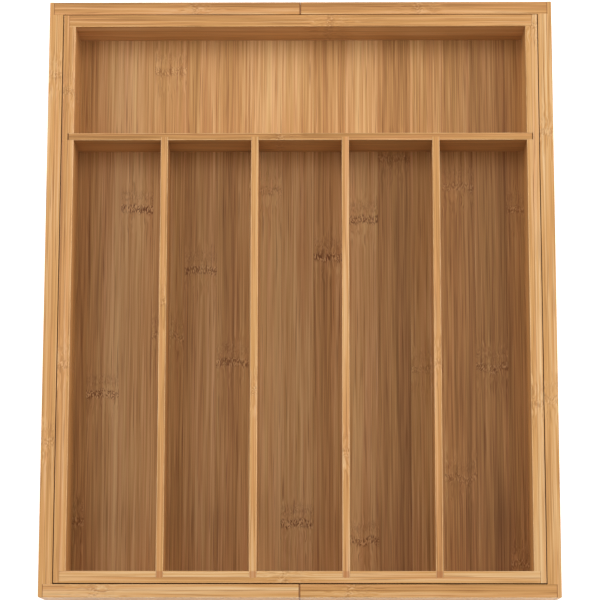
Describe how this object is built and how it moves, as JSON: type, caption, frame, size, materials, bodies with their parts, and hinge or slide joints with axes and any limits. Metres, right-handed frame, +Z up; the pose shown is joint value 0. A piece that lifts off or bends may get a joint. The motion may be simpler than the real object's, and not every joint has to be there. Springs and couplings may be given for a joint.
{
  "type": "drawer organizer insert",
  "caption": "Flat open bamboo drawer organizer: a tray with a back compartment and long compartments between dividers, inside two wings that slide out sideways to widen it.",
  "frame": {"origin": "middle of the closed organizer's footprint, on the surface that the wings' walls stand on", "axes": "+X to the right across the drawer (the right wing slides out along +X, the left wing along -X), +Y to the back of the drawer, +Z up"},
  "size_m": [0.375, 0.443, 0.05],
  "materials": {
    "wall_bamboo": "laminated bamboo, satin lacquer",
    "floor_bamboo": "edge-glued bamboo strips, satin lacquer",
    "zinc_plated_steel": "zinc plated"
  },
  "bodies": {
    "tray": {"tray_left_wall": "wall_bamboo", "tray_right_wall": "wall_bamboo", "tray_front_wall": "wall_bamboo", "tray_back_wall": "wall_bamboo", "tray_floor": "floor_bamboo", "cross_divider": "wall_bamboo", "long_divider_1": "wall_bamboo", "long_divider_2": "wall_bamboo", "long_divider_3": "wall_bamboo", "long_divider_4": "wall_bamboo", "stop_screws": "zinc_plated_steel"},
    "left_wing": {"left_wing_side": "wall_bamboo", "left_wing_front": "wall_bamboo", "left_wing_back": "wall_bamboo", "left_wing_floor": "floor_bamboo"},
    "right_wing": {"right_wing_side": "wall_bamboo", "right_wing_front": "wall_bamboo", "right_wing_back": "wall_bamboo", "right_wing_floor": "floor_bamboo"}
  },
  "joints": [
    {"name": "left_wing_slide", "type": "slide", "parent": "tray", "child": "left_wing", "axis": [-1, 0, 0], "range_m": [0, 0.08]},
    {"name": "right_wing_slide", "type": "slide", "parent": "tray", "child": "right_wing", "axis": [1, 0, 0], "range_m": [0, 0.08]}
  ]
}
